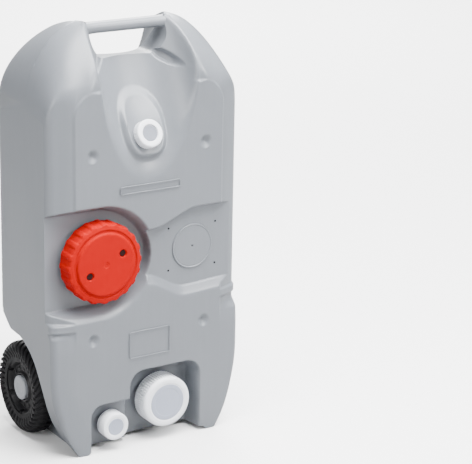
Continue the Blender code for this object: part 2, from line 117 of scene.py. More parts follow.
# Each port: the root of its neck, its tilt upwards in degrees, the neck's radius and length, the cap's radius
# and height, the lead and height of the thread, and the depth of a gripping tooth and its steps round the cap
PORTS = {
    "inlet": {"root": (INLET[0], FRONT_Y + 0.035, INLET[1]), "tilt": 0, "neck": 0.0600, "reach": 0.0340,
              "cap": 0.0715, "height": 0.0365, "lead": 0.008, "thread": 0.0019, "tooth": 0.0022, "steps": 20},
    "drain": {"root": (0.038, FRONT_Y + 0.045, 0.0705), "tilt": 0, "neck": 0.0400, "reach": 0.0370,
              "cap": 0.0478, "height": 0.0375, "lead": 0.008, "thread": 0.0017, "tooth": 0.0019, "steps": 8},
    "outlet": {"root": (-0.0715, FRONT_Y + 0.028, 0.0468), "tilt": 0, "neck": 0.0195, "reach": 0.0270,
               "cap": 0.0256, "height": 0.0250, "lead": 0.006, "thread": 0.0015, "tooth": 0.0003, "steps": 6},
    "vent": {"root": (0.0, FRONT_Y + 0.030, 0.5675), "tilt": 24, "neck": 0.0180, "reach": 0.0245,
             "cap": 0.0250, "height": 0.0230, "lead": 0.006, "thread": 0.0015, "tooth": 0.0006, "steps": 6},
}
SMALL_CAP_TEETH = 36

# ---- Small numeric helpers --------------------------------------------------------------------


def smooth(t):
    """Runs from 0 to 1 with flat ends while t runs from 0 to 1: 3 t^2 - 2 t^3."""
    t = np.clip(t, 0.0, 1.0)
    return t * t * (3.0 - 2.0 * t)


def soft_max(a, b, k):
    """The larger of two values, rounded over where they are within k of each other."""
    h = np.maximum(k - np.abs(a - b), 0.0) / k
    return np.maximum(a, b) + h * h * k / 4.0


def bowl(s):
    """Quarter-circle profile: 0 with a flat start at s = 0 and 1 with a vertical end at s = 1."""
    s = np.clip(s, 0.0, 1.0)
    return 1.0 - np.sqrt(np.maximum(1.0 - s * s, 0.0))


def rounded_box(x, z, left, right, low, high, corner):
    """Signed distance to a rounded rectangle in the front view, negative inside."""
    dx = np.abs(x - (left + right) / 2) - (right - left) / 2 + corner
    dz = np.abs(z - (low + high) / 2) - (high - low) / 2 + corner
    outside = np.hypot(np.maximum(dx, 0.0), np.maximum(dz, 0.0))
    return outside + np.minimum(np.maximum(dx, dz), 0.0) - corner


def spread(count, pull):
    """count values from 0 to 1 that crowd towards both ends: a mix of a straight and a cosine ramp."""
    u = np.linspace(0.0, 1.0, count)
    return (1.0 - pull) * u + pull * (0.5 - 0.5 * np.cos(np.pi * u))


# ---- Meshes from grids ------------------------------------------------------------------------


def grid_faces(rows, columns, wrap=False, start=0):
    """Quads between neighbouring rows and columns of a grid of points."""
    index = start + np.arange(rows * columns).reshape(rows, columns)
    if wrap:
        index = np.concatenate([index, index[:, :1]], axis=1)
    a, b = index[:-1, :-1], index[:-1, 1:]
    c, d = index[1:, 1:], index[1:, :-1]
    return np.stack([a, b, c, d], axis=-1).reshape(-1, 4)


def new_piece(name, points, faces, material, body, crease=40.0):
    """A mesh object from arrays of points and of quads, riding on a body of the frame."""
    mesh = bpy.data.meshes.new(name)
    mesh.vertices.add(len(points))
    mesh.vertices.foreach_set("co", np.ascontiguousarray(points, np.float32).ravel())
    mesh.loops.add(faces.size)
    mesh.loops.foreach_set("vertex_index", faces.astype(np.int32).ravel())
    mesh.polygons.add(len(faces))
    mesh.polygons.foreach_set("loop_start", np.arange(0, faces.size, 4, dtype=np.int32))
    mesh.update(calc_edges=True)
    mesh.validate()
    mesh.shade_smooth()
    if crease:
        mesh.set_sharp_from_angle(angle=math.radians(crease))
    mesh.materials.append(material)
    piece = bpy.data.objects.new(name, mesh)
    bpy.context.scene.collection.objects.link(piece)
    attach(piece, body)
    return piece


def turned_points(profile, steps, shape=None):
    """Points of a turned surface about local Z: each (radius, height) is swept round.

    shape takes the arrays of angle, radius and height, and gives the radius and height to use instead.
    """
    radius, height = np.array(profile, float).T
    angle = np.linspace(0.0, 2.0 * np.pi, steps, endpoint=False)
    a, r = np.meshgrid(angle, radius)
    h = np.repeat(height[:, None], steps, axis=1)
    if shape is not None:
        r, h = shape(a, r, h)
    return np.stack([r * np.cos(a), r * np.sin(a), h], axis=-1)


def placed(points, placing):
    """Points moved by a 4 by 4 placing."""
    matrix = np.array(placing)
    return points.reshape(-1, 3) @ matrix[:3, :3].T + matrix[:3, 3]


def rounded_profile(corners, radius, steps=5):
    """A path through corner points with each inner corner rounded by a quadratic curve of that reach."""
    corners = [np.array(c, float) for c in corners]
    path = [corners[0]]
    for before, corner, after in zip(corners, corners[1:], corners[2:]):
        into, out = before - corner, after - corner
        reach = min(radius, 0.45 * np.linalg.norm(into), 0.45 * np.linalg.norm(out))
        start = corner + into / np.linalg.norm(into) * reach
        end = corner + out / np.linalg.norm(out) * reach
        for t in np.linspace(0.0, 1.0, steps):
            path.append((1 - t) ** 2 * start + 2 * t * (1 - t) * corner + t * t * end)
    path.append(corners[-1])
    return np.array(path)


def densified(path, longest):
    """The same path with extra points, so that no stretch is longer than asked."""
    result = [path[0]]
    for a, b in zip(path, path[1:]):
        count = max(1, int(math.ceil(np.linalg.norm(b - a) / longest)))
        for i in range(1, count + 1):
            result.append(a + (b - a) * i / count)
    return np.array(result)


# ---- Shader maths -----------------------------------------------------------------------------


class Field:
    """A socket of a material's node tree that can be used in plain arithmetic."""

    def __init__(self, tree, socket):
        self.tree = tree
        self.socket = socket

    def node(self, kind, inputs=(), output=0, **settings):
        """Any other node: inputs are (name or place, value or Field) pairs."""
        made = self.tree.nodes.new(kind)
        for name, value in settings.items():
            setattr(made, name, value)
        for place, value in inputs:
            if isinstance(value, Field):
                self.tree.links.new(value.socket, made.inputs[place])
            else:
                made.inputs[place].default_value = value
        return Field(self.tree, made.outputs[output])

    def maths(self, operation, *others):
        """A Math node that works on this value and the others."""
        values = [(i, value) for i, value in enumerate((self,) + others)]
        return self.node("ShaderNodeMath", values, operation=operation)

    def __add__(self, other):
        return self.maths("ADD", other)

    def __mul__(self, other):
        return self.maths("MULTIPLY", other)

    __radd__ = __add__
    __rmul__ = __mul__

    def ramp(self, low, high, to_low=0.0, to_high=1.0):
        """Smooth step from to_low to to_high while this value runs from low to high."""
        values = (("Value", self), ("From Min", low), ("From Max", high),
                  ("To Min", to_low), ("To Max", to_high))
        return self.node("ShaderNodeMapRange", values, interpolation_type="SMOOTHSTEP")

    def noise(self, scale, detail=3.0, roughness=0.5):
        """Cloudy noise over this place."""
        values = (("Vector", self), ("Scale", scale), ("Detail", detail), ("Roughness", roughness))
        return self.node("ShaderNodeTexNoise", values)

    def cells(self, scale):
        """Distance to the nearest of many scattered points, which gives a pebbled look."""
        values = (("Vector", self), ("Scale", scale))
        return self.node("ShaderNodeTexVoronoi", values, feature="F1")

    def stretched(self, scale):
        """This place with its three axes scaled."""
        return self.node("ShaderNodeMapping", (("Vector", self), ("Scale", scale)))

    def bump(self, strength, distance):
        """A normal that is tilted as if this value were a height."""
        values = (("Height", self), ("Strength", strength), ("Distance", distance))
        return self.node("ShaderNodeBump", values)

    def between(self, low, high):
        """Colour mix by this value: socket 0 is the factor, 6 and 7 are the two colours."""
        return self.node("ShaderNodeMix", ((0, self), (6, low), (7, high)), output=2, data_type="RGBA")


def new_material(name):
    """An empty Principled material, its object coordinates and its shader node."""
    material = bpy.data.materials.new(name)
    material.use_nodes = True
    tree = material.node_tree
    shader = tree.nodes["Principled BSDF"]
    coordinates = tree.nodes.new("ShaderNodeTexCoord")
    return material, Field(tree, coordinates.outputs["Object"]), shader


def connect(place, shader, **sockets):
    """Links fields to the shader's named inputs; underscores in a name stand for spaces."""
    for name, value in sockets.items():
        target = shader.inputs[name.replace("_", " ")]
        if isinstance(value, Field):
            place.tree.links.new(value.socket, target)
        else:
            target.default_value = value


def moulded_plastic(name, colour, shade, roughness, grain, grain_height, specular):
    """Moulded plastic: cloudy colour, a fine pebbled grain, faint flow streaks and patchy sheen."""
    material, place, shader = new_material(name)
    clouds = place.noise(7.0, 4.0, 0.55)
    fine = place.noise(grain, 2.0, 0.6)
    pebble = place.cells(grain * 0.9)
    streak = place.stretched((40.0, 40.0, 3.0)).noise(3.0, 3.0, 0.6)
    tone = (clouds * 0.55 + streak * 0.3 + fine * 0.15).ramp(0.3, 0.7)
    height = fine * 0.6 + pebble * 0.4 + streak * 0.15
    bump = height.bump(0.35, grain_height)
    connect(place, shader, Base_Color=tone.between(shade, colour),
            Roughness=clouds.ramp(0.3, 0.7, roughness - 0.05, roughness + 0.06) + fine * 0.04,
            Normal=bump, Specular_IOR_Level=specular)
    return material


def metal(name, colour, roughness):
    """Plated steel with fine turning marks round the axle and cloudy zinc."""
    material, place, shader = new_material(name)
    marks = place.stretched((1.0, 60.0, 60.0)).noise(12.0, 2.0)
    clouds = place.noise(60.0, 3.0)
    bump = marks.bump(0.2, 0.0001)
    dark = (colour[0] * 0.8, colour[1] * 0.8, colour[2] * 0.82, 1.0)
    connect(place, shader, Base_Color=clouds.ramp(0.3, 0.7).between(dark, colour), Metallic=1.0,
            Roughness=marks.ramp(0.3, 0.7, roughness - 0.06, roughness + 0.08), Normal=bump)
    return material


def rubber(name, colour, roughness):
    """Dull rubber with a dusty bloom and a fine mould grain."""
    material, place, shader = new_material(name)
    dust = place.noise(45.0, 5.0, 0.65)
    grain = place.noise(1400.0, 2.0)
    bump = grain.bump(0.3, 0.00012)
    bloom = (colour[0] + 0.005, colour[1] + 0.005, colour[2] + 0.005, 1.0)
    connect(place, shader, Base_Color=dust.ramp(0.45, 0.75).between(colour, bloom),
            Roughness=dust.ramp(0.3, 0.7, roughness - 0.08, roughness + 0.08),
            Normal=bump, Specular_IOR_Level=0.18)
    return material


# One material for each slot of the frame and each small mark, filled by make_looks
LOOKS = {}


# Each moulded plastic: name, colour, shade, roughness, scale and height of its grain, specular level
FINE, COARSE = 1500.0, 1300.0
RED, DARK_RED = (0.345, 0.0010, 0.0004, 1), (0.315, 0.0008, 0.0003, 1)
PLASTICS = {
    "tank": ("tank_grey", (0.153, 0.165, 0.182, 1), (0.140, 0.151, 0.168, 1), 0.32, FINE, 0.00012, 0.5),
    "inlet_cap": ("signal_red", RED, DARK_RED, 0.50, COARSE, 0.0001, 0.06),
    "white_cap": ("cap_white", (0.80, 0.82, 0.86, 1), (0.75, 0.77, 0.81, 1), 0.42, FINE, 0.0001, 0.5),
    "disc": ("cap_disc", (0.33, 0.36, 0.44, 1), (0.30, 0.33, 0.41, 1), 0.40, FINE, 0.0001, 0.5),
    # the vent cap's disc: a darker copy of cap_disc, painted shade against the extra top light that the
    # upward-tilted vent catches
    "vent_disc_painted_shade": ("vent_cap_disc", (0.19, 0.205, 0.24, 1), (0.17, 0.185, 0.22, 1), 0.45, FINE, 0.0001, 0.3),
    "wheel": ("wheel_black", (0.007, 0.007, 0.008, 1), (0.004, 0.004, 0.005, 1), 0.42, COARSE, 0.0001, 0.22),
    "hub_cap": ("hub_cap_grey", (0.24, 0.25, 0.27, 1), (0.21, 0.22, 0.24, 1), 0.38, COARSE, 0.0001, 0.5),
    "bush": ("bush_nylon", (0.34, 0.34, 0.31, 1), (0.30, 0.30, 0.27, 1), 0.40, COARSE, 0.0001, 0.5),
}

# Each rubber or plain dull surface: name, colour, roughness
RUBBERS = {
    # near-black red for the floor of the inlet cap's key holes: painted shade
    "shade_disc": ("painted_shade_red", (0.016, 0.0, 0.0, 1), 0.7),
    "tyre": ("tyre_black", (0.004, 0.004, 0.005, 1), 0.55),
    "seal": ("seal_rubber", (0.02, 0.02, 0.023, 1), 0.6),
    "mark": ("shadow_mark", (0.012, 0.012, 0.014, 1), 0.7),
}


def make_looks():
    """Fills LOOKS with one material for every slot and every small mark."""
    for slot, values in PLASTICS.items():
        LOOKS[slot] = moulded_plastic(*values)
    for slot, values in RUBBERS.items():
        LOOKS[slot] = rubber(*values)
    LOOKS["steel"] = metal("zinc_steel", (0.45, 0.46, 0.48, 1), 0.32)


# ---- Tank -------------------------------------------------------------------------------------


def arch_height(x):
    """Height of the shoulders' outline: a squared-off quarter of an ellipse each side of a flat middle."""
    along = np.clip((np.abs(x) - SHOULDER_X) / SHOULDER_REACH, 0.0, 0.9999)
    return SHOULDER_Z + SHOULDER_RISE * (1.0 - along ** SQUARENESS) ** (1.0 / SQUARENESS)


def half_width(z):
    """Half of the tank's width: drawn in below LEG_TOP, full above it, the shoulder's curve at the top."""
    low = HALF_WIDTH - LEG_DRAW_IN * np.clip((LEG_TOP - z) / LEG_TOP, 0.0, 1.0) ** 2.2
    rise = np.clip((z - SHOULDER_Z) / SHOULDER_RISE, 0.0, 0.9999)
    arch = SHOULDER_X + SHOULDER_REACH * (1.0 - rise ** SQUARENESS) ** (1.0 / SQUARENESS)
    return np.where(z > SHOULDER_Z, arch, low)


def edge_distance(x, z):
    """How far a point of the front view is inside the arch-shaped outline."""
    u, v = np.maximum(np.abs(x) - SHOULDER_X, 0.0), np.maximum(z - SHOULDER_Z, 0.0)
    reach = np.hypot(u, v)
    level = ((u / SHOULDER_REACH) ** SQUARENESS + (v / SHOULDER_RISE) ** SQUARENESS) ** (1.0 / SQUARENESS)
    arch = np.where(reach > 1e-6, reach * (1.0 / np.maximum(level, 1e-6) - 1.0), SHOULDER_REACH)
    return np.maximum(np.where(z > SHOULDER_Z, arch, half_width(z) - np.abs(x)), 0.0)


def leaning(share):
    """How a shoulder leans in: half a parabola and half a quarter circle, from 0 to 1."""
    return 0.5 * share * share + 0.5 * bowl(share)


def shoulder_fall(x, z):
    """How far a point is under the crown once its column of the arch is stretched to the full height."""
    share = np.clip((z - SHOULDER_Z) / (arch_height(x) - SHOULDER_Z), 0.0, 1.0)
    return SHOULDER_RISE * (1.0 - share)


def front_form(x, z):
    """Depth of the plain front: a raised panel, chamfered sides and leaning shoulders with a soft crest.

    Each side has a straight chamfer with a rounded edge, and both fade towards the feet and the crown. A
    narrow band under the recesses has less chamfer and no step, so it stands out as a flange.
    """
    d = edge_distance(x, z)
    band = smooth((np.abs(z - np.where(x < 0.0, 0.2445, 0.2615)) - 0.0050) / 0.005)
    chamfer = 1.0 - np.where(x < 0.0, 0.40, 0.15) * (1.0 - band)
    chamfer = chamfer * (0.35 + 0.65 * smooth((z - 0.225) / 0.02))
    chamfer_reach, slope, edge_depth, edge_reach = 0.043, 0.50, 0.010, 0.012
    side = np.maximum(slope * (chamfer_reach - d), 0.0) * chamfer + edge_depth * bowl(1.0 - d / edge_reach)
    side = side * (1.0 - 0.55 * smooth((z - 0.640) / 0.120)) * (0.25 + 0.75 * smooth(z / 0.110))
    lean = np.clip(1.0 - shoulder_fall(x, z) / 0.124, 0.0, 1.0)
    top = 0.108 * leaning(lean) * smooth((z - SHOULDER_Z) / 0.030)
    depth = soft_max(side, top, 0.008)
    crest = (np.abs(x) - 0.140 + 0.35 * (z - SHOULDER_Z)) / 0.013
    reach = smooth((z - 0.585) / 0.050) * smooth((0.750 - z) / 0.060)
    depth = depth - 0.0045 * np.exp(-crest * crest) * reach
    panel_half, panel_top, panel_corner, panel_step = 0.149, 0.662, 0.042, 0.0030
    panel = rounded_box(x, z, -panel_half, panel_half, -0.3, panel_top, panel_corner)
    step = smooth((panel + 0.003) / 0.006) * smooth((z - 0.195) / 0.05) * (1 - smooth((z - 0.66) / 0.1))
    return depth + panel_step * step * band


def front_depth(x, z):
    """Depth of the front: the shell's own form, with everything that is sunk into it or stands on it."""
    depth = front_form(x, z)

    # scoop up to the hand hole, slanting back and hollowed across, and the oval boss in it
    bend = 0.100 - np.sqrt(np.maximum(0.0100 - np.minimum(x * x, 0.0098), 0.0))
    scoop = 0.5128 * (z - 0.505) - 1.124 * bend
    depth = soft_max(depth, scoop, 0.012)
    oval = (np.abs(x / 0.046) ** 2.4 + np.abs((z - 0.588) / 0.064) ** 2.4) ** (1 / 2.4)
    boss = 0.015 * (1.0 - smooth((oval - 0.72) / 0.28)) * smooth((z - 0.515) / 0.03)
    depth = depth - boss * (0.35 + 0.65 * smooth((0.648 - z) / 0.060))

    # leaf-shaped dents beside the hand hole
    across, up = np.abs(x) - 0.0680, z - 0.6960
    leaf = np.hypot((0.82 * across - 0.57 * up) / 0.025, (0.57 * across + 0.82 * up) / 0.0105)
    depth = depth + 0.0130 * smooth((1.0 - leaf) / 0.45)

    # big round recess on the left, running out at the side
    over, under = smooth((z - INLET[1]) / 0.100), smooth((INLET[1] - z) / 0.080)
    ring = np.hypot(x - INLET[0], z - INLET[1])
    recess = np.where(x < INLET[0], np.abs(z - INLET[1]), ring) - RECESS_RADIUS - 0.008 * under
    wall = -recess / (0.0055 + 0.0135 * over + 0.0215 * under)
    sunk = smooth(wall) * (1.0 - 0.80 * under) + 0.80 * under * bowl(wall)
    depth = soft_max(depth, RECESS_DEPTH * sunk, 0.003)

    # shallow recess on the right, running out at the side
    upper = 0.407 + 0.029 * smooth((x - 0.006) / 0.094)
    lower = 0.293 - 0.031 * smooth((x + 0.002) / 0.078) + 0.004 * smooth((x - 0.080) / 0.080)
    lip = 0.5 * smooth((z - lower) / 0.024) + 0.5 * bowl((z - lower) / 0.024)
    shallow = smooth((upper - z) / 0.008) * lip * smooth((x + 0.010) / 0.012)
    depth = soft_max(depth, GAUGE_DEPTH * shallow, 0.002)

    # pockets for the bottom ports, the bores of all four necks and four dimples
    drain = rounded_box(x, z, -0.039, 0.108, -0.2, 0.1425, 0.030)
    outlet = rounded_box(x, z, -0.1185, 0.000, -0.2, 0.092, 0.024)
    depth = soft_max(depth, 0.045 * smooth(0.15 - drain / 0.0085), 0.003)
    depth = soft_max(depth, 0.028 * smooth(0.15 - outlet / 0.0075), 0.003)
    for port in PORTS.values():
        bore = np.hypot(x - port["root"][0], z - port["root"][2])
        depth = depth + 0.040 * smooth((port["neck"] - 0.003 - bore) / 0.002)
    for dimple_z in (0.551, 0.2155):
        depth = depth + 0.0065 * smooth(1.0 - np.hypot(np.abs(x) - 0.1136, z - dimple_z) / 0.0135)
    return depth


def back_depth(x, z):
    """Depth of the back: flat, rounded at its edges, leaning in at the top, with a scoop behind the bar.

    Below, the heel curves forwards round the axle and the wheel wells are cut out at both sides.
    """
    d = edge_distance(x, z)
    lean = np.clip(1.0 - shoulder_fall(x, z) / 0.0575, 0.0, 1.0)
    high = smooth((z - SHOULDER_Z) / 0.090)
    depth = BODY_DEPTH - (1.0 - 0.6 * high) * 0.013 * bowl(1.0 - d / 0.014)
    depth = depth - 0.101 * leaning(lean) * smooth((z - SHOULDER_Z) / 0.030)
    bend = 0.110 - np.sqrt(np.maximum(0.0121 - np.minimum(x * x, 0.0118), 0.0))
    scoop = 0.212 + (bend - 0.7286 * (z - 0.610)) / 0.685
    depth = -soft_max(-depth, -scoop, 0.012)
    low = np.clip((z - 0.0255) / 0.0605, 0.0, 1.0)
    heel = HEEL_DEPTH + 0.0605 * np.sqrt(np.maximum(1.0 - (1.0 - low) ** 2, 0.0))
    depth = np.where(z < AXLE.z, np.minimum(depth, heel), depth)
    reach = np.sqrt(np.maximum(WELL_RADIUS ** 2 - (z - AXLE.z) ** 2, 0.0))
    foot = 0.012 + 0.033 * smooth(z / 0.050) + 0.003 * smooth((z - 0.04) / 0.046)
    arch = np.where(z < AXLE.z, foot, HEEL_DEPTH - reach)
    fading = HEEL_DEPTH + 0.0485 * np.clip((z - WELL_TOP) / WELL_FADE, 0.0, 1.0) ** 0.8
    arch = np.where(z > WELL_TOP, fading, arch)
    well = smooth((np.abs(x) - WELL_INNER_X) / 0.0015)
    inside = np.where(z < WELL_TOP + WELL_FADE, np.minimum(depth, arch), depth)
    return depth + (inside - depth) * well


def outline_patch(across, up):
    """The front view as a patch: across and up run from 0 to 1, and its four sides are the tank's outline.

    A Coons patch: the left and right sides blended across, plus the top and bottom blended up, minus the
    blend of the four corners. The top runs along the notch of the hand hole and then along the shoulder.
    """
    def side(t):
        """Half width and height of both sides."""
        z = PATCH_TOP * t
        return half_width(z), z

    def bottom(s):
        """The lower edge: raised in the middle and down on the floor at both feet."""
        x = (2.0 * s - 1.0) * half_width(np.array(0.0))
        return x, 0.008 * (1.0 - smooth((np.abs(x) - 0.112) / 0.014))

    def top(s):
        """The upper edge: half of the notch from its middle outwards, then the shoulder, on both sides."""
        p = 2.0 * s - 1.0
        sign, q = np.sign(p), np.abs(p)
        corner = half_width(np.array(PATCH_TOP))
        shoulder = np.clip((q - NOTCH_SHARE) / (1.0 - NOTCH_SHARE), 0.0, 1.0)
        arch_x = NOTCH_EDGE_X + (corner - NOTCH_EDGE_X) * shoulder
        arch_z = arch_height(arch_x)
        path = rounded_profile([(0.0, NOTCH_FLOOR), (0.056, NOTCH_FLOOR), (0.0765, 0.728), (0.0775, 0.7675),
                                (NOTCH_EDGE_X, float(arch_height(NOTCH_EDGE_X)))], 0.014, 11)
        length = np.concatenate([[0.0], np.cumsum(np.linalg.norm(np.diff(path, axis=0), axis=1))])
        along = np.clip(q / NOTCH_SHARE, 0.0, 1.0) * length[-1]
        x = np.where(q < NOTCH_SHARE, np.interp(along, length, path[:, 0]), arch_x)
        z = np.where(q < NOTCH_SHARE, np.interp(along, length, path[:, 1]), arch_z)
        return sign * x, z

    s, t = np.meshgrid(across, up)
    side_x, side_z = side(t)
    bottom_x, bottom_z = bottom(s)
    top_x, top_z = top(s)
    low, high = half_width(np.array(0.0)), half_width(np.array(PATCH_TOP))
    x = side_x * (2.0 * s - 1.0) + (1.0 - t) * bottom_x + t * top_x
    x = x - (2.0 * s - 1.0) * ((1.0 - t) * low + t * high)
    z = side_z + (1.0 - t) * bottom_z + t * top_z - t * PATCH_TOP
    return x, z


def patch_rim(grid):
    """The outside points of a grid of points, once round from its first corner."""
    return np.concatenate([grid[0, :-1], grid[:-1, -1], grid[-1, :0:-1], grid[:0:-1, 0]])


def side_band(x, z, near, far):
    """Rows of points round the tank's side, evenly spread between two depths of its outline."""
    weights = np.linspace(0.0, 1.0, BAND_ROWS)[:, None]
    y = FRONT_Y + near + (far - near) * weights
    return np.stack([np.broadcast_to(x, y.shape), y, np.broadcast_to(z, y.shape)], axis=-1)


def parting_depth(front, back):
    """The parting line's depth, kept between the front and the back where the tank is thin."""
    return np.clip(np.full_like(front, PARTING), front + LEAST_WALL / 2, back - LEAST_WALL / 2)


def make_tank(detail):
    """The tank as two moulded halves that meet at a parting line."""
    columns, rows = int(GRID_COLUMNS * detail), int(GRID_ROWS * detail)
    x, z = outline_patch(spread(columns, CROWDING_ACROSS), spread(rows, CROWDING_UP))
    front = np.minimum(front_depth(x, z), back_depth(x, z) - LEAST_WALL)
    points = np.stack([x, FRONT_Y + front, z], axis=-1)
    split = rows // 2
    for name, part in (("tank_front_low", points[: split + 1]), ("tank_front_high", points[split:])):
        faces = grid_faces(part.shape[0], part.shape[1])
        piece = new_piece(name, part.reshape(-1, 3), faces, LOOKS["tank"], "tank", 0)
        if name == "tank_front_low":
            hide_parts("tank_shell")
    rim_x, rim_z, rim_front = (patch_rim(a) for a in (x, z, front))
    rim_back = np.maximum(back_depth(rim_x, rim_z), rim_front + LEAST_WALL)
    band = side_band(rim_x, rim_z, rim_front, parting_depth(rim_front, rim_back))
    faces = grid_faces(BAND_ROWS, len(rim_x), wrap=True)[:, ::-1]
    new_piece("tank_front_side", band.reshape(-1, 3), faces, LOOKS["tank"], "tank", 0)

    # the back half: a coarser grid, with a line of points added towards each side
    across = np.sort(np.concatenate([spread(columns // 2, CROWDING_ACROSS), [0.15, 0.85]]))
    x, z = outline_patch(across, spread(rows // 2, CROWDING_UP))
    front = np.minimum(front_depth(x, z), back_depth(x, z) - LEAST_WALL)
    back = np.maximum(back_depth(x, z), front + LEAST_WALL)
    points = np.stack([x, FRONT_Y + back, z], axis=-1)
    faces = grid_faces(points.shape[0], points.shape[1])[:, ::-1]
    rim_x, rim_z, rim_back, rim_front = (patch_rim(a) for a in (x, z, back, front))
    band = side_band(rim_x, rim_z, parting_depth(rim_front, rim_back), rim_back)
    band_faces = grid_faces(BAND_ROWS, len(rim_x), wrap=True, start=x.size)[:, ::-1]
    new_piece("tank_back", np.concatenate([points.reshape(-1, 3), band.reshape(-1, 3)]),
              np.concatenate([faces, band_faces]), LOOKS["tank"], "tank", 50.0)


def make_grip():
    """The carrying bar: a rounded section swept from shoulder to shoulder, flaring into both."""
    rows, columns = 97, 48
    half_length, flare_from, flare_size = 0.088, 0.054, 0.008
    half_deep, half_tall, corner_power = 0.0126, 0.0102, 0.85
    along = np.linspace(-half_length, half_length, rows)
    angle = np.linspace(0.0, 2.0 * np.pi, columns, endpoint=False)
    x, a = np.meshgrid(along, angle, indexing="ij")
    flare = flare_size * bowl((np.abs(x) - flare_from) / (half_length - flare_from))
    y = (half_deep + flare) * np.sign(np.cos(a)) * np.abs(np.cos(a)) ** corner_power
    z = (half_tall + 0.5 * flare) * np.sign(np.sin(a)) * np.abs(np.sin(a)) ** corner_power
    points = np.stack([x, FRONT_Y + GRIP_DEPTH + y, GRIP_Z - 0.3 * flare + z], axis=-1)
    faces = grid_faces(rows, columns, wrap=True)
    new_piece("grip_bar", points.reshape(-1, 3), faces, LOOKS["tank"], "tank", 0)


def raised_line(name, path, thick):
    """A thin round line moulded on the tank along a closed path of (x, y, z) points on the front."""
    sides, behind = 8, np.array((0.0, 1.0, 0.0))
    path = np.array(path, float)
    ahead = np.roll(path, -1, axis=0) - np.roll(path, 1, axis=0)
    ahead /= np.linalg.norm(ahead, axis=1)[:, None]
    out = np.cross(ahead, behind)
    angle = np.linspace(0.0, 2.0 * np.pi, sides, endpoint=False)[:, None]
    points = path[:, None, :] + thick * (np.cos(angle) * out[:, None, :] + np.sin(angle) * behind)
    first = np.arange(sides)
    last = (len(path) - 1) * sides + first
    close = np.stack([last, np.roll(last, -1), np.roll(first, -1), first], axis=-1)
    faces = np.concatenate([grid_faces(len(path), sides, wrap=True), close])
    new_piece(name, points.reshape(-1, 3), faces, LOOKS["tank"], "tank", 0)


def loop_path(half_wide, low, high, corner):
    """A rounded rectangle round the middle of the front, as a closed path just under its face."""
    points = []
    right, top, bottom = half_wide - corner, high - corner, low + corner
    for cx, cz, start in ((right, top, 0), (-right, top, 90), (-right, bottom, 180), (right, bottom, 270)):
        for a in np.radians(start + np.linspace(0.0, 90.0, 9)):
            points.append((cx + corner * math.cos(a), FRONT_Y + 0.0001, cz + corner * math.sin(a)))
    return points


FACING_FRONT = Matrix.Rotation(math.pi / 2, 4, "X")


def turned_piece(name, profile, steps, placing, material, body, shape=None, crease=35.0):
    """A turned surface as a piece, moved to its place."""
    points = placed(turned_points(profile, steps, shape), placing)
    faces = grid_faces(len(profile), steps, wrap=True)
    return new_piece(name, points, faces, material, body, crease)


def make_marks():
    """What is moulded on the front: the gauge boss with its marks, a plain care plate and a blank strip."""
    at = Matrix.Translation((GAUGE[0], FRONT_Y + GAUGE_DEPTH, GAUGE[1])) @ FACING_FRONT
    rim, mark_x, mark_z = 0.0410, 0.0488, 0.0394
    profile = rounded_profile([(rim + 0.0010, -0.0010), (rim, 0.0022), (rim - 0.0014, 0.0028),
                               (rim - 0.0034, 0.0014), (rim - 0.0046, 0.0018), (0.0030, 0.0018),
                               (0.0012, 0.0008), (0.0002, 0.0008)], 0.0006)
    turned_piece("gauge_disc", profile, 128, at, LOOKS["tank"], "tank")
    for i, (sx, sz) in enumerate(((-1, -1), (1, -1), (1, 1), (-1, 1))):
        place = (GAUGE[0] + sx * mark_x, FRONT_Y + GAUGE_DEPTH, GAUGE[1] + sz * mark_z)
        corners = [(0.0019, -0.0004), (0.0019, 0.0005), (0.0010, 0.0007), (0.0002, 0.0002)]
        pip = rounded_profile(corners, 0.0003)
        at = Matrix.Translation(place) @ FACING_FRONT
        turned_piece(f"gauge_mark_{i}", pip, 24, at, LOOKS["mark"], "tank")
    at = Matrix.Translation((GAUGE[0], FRONT_Y + GAUGE_DEPTH - 0.0012, GAUGE[1])) @ FACING_FRONT
    pip = rounded_profile([(0.0014, -0.0004), (0.0014, 0.0004), (0.0002, 0.0006)], 0.0003)
    turned_piece("gauge_centre", pip, 20, at, LOOKS["mark"], "tank")
    raised_line("care_plate", loop_path(0.041, 0.170, 0.219, 0.002), 0.0007)
    raised_line("blank_strip", loop_path(0.060, 0.4765, 0.4895, 0.0025), 0.0008)


# ---- Necks and caps ---------------------------------------------------------------------------


def port_placing(port):
    """Local Z points out of the neck from the wall that it stands on."""
    return Matrix.Translation(port["root"]) @ Matrix.Rotation(math.radians(90 - port["tilt"]), 4, "X")


def thread_ridge(angle, height, start, turns, lead, tall):
    """Height of a helical ridge: a rounded bump that climbs one lead a turn and fades at both ends."""
    turn = (height - start) / lead - angle / (2.0 * np.pi)
    off = (turn - np.round(turn)) * lead
    along = np.round(turn) + angle / (2.0 * np.pi)
    fade = smooth(along / 0.08) * smooth((turns - along) / 0.08)
    return tall * smooth(1.0 - np.abs(off) / (1.15 * tall)) * fade


def make_neck(name, port):
    """A threaded neck with a rolled rim, standing on the tank."""
    outer, top, bore = port["neck"], port["reach"], port["neck"] - NECK_WALL
    foot = -0.036 if port["tilt"] else -0.010
    corners = [(bore, foot), (outer + 0.0016, foot), (outer, 0.0035), (outer, top), (bore, top), (bore, foot)]
    profile = densified(rounded_profile(corners, 0.0012), 0.0009)
    turns, start = 1.25, top - port["lead"] * 1.60

    def shape(a, r, h):
        """Raises the thread on the outside of the neck."""
        ridge = thread_ridge(a, h, start, turns, port["lead"], port["thread"])
        return r + np.where(r > outer - 0.0008, ridge, 0.0), h

    placing = port_placing(port)
    turned_piece(name + "_neck_detail", profile, 144, placing, LOOKS["tank"], "tank", shape)


# Height of every cap's rim over the root of its neck, and how much of each white cap's face its disc takes
CAP_BASE = 0.0075
DISC_SHARE = {"drain": 0.74, "outlet": 0.66, "vent": 0.62}
KEY_HOLE_OUT = 0.0365
KEY_HOLE_ANGLES = (math.radians(27.0), math.radians(207.0))


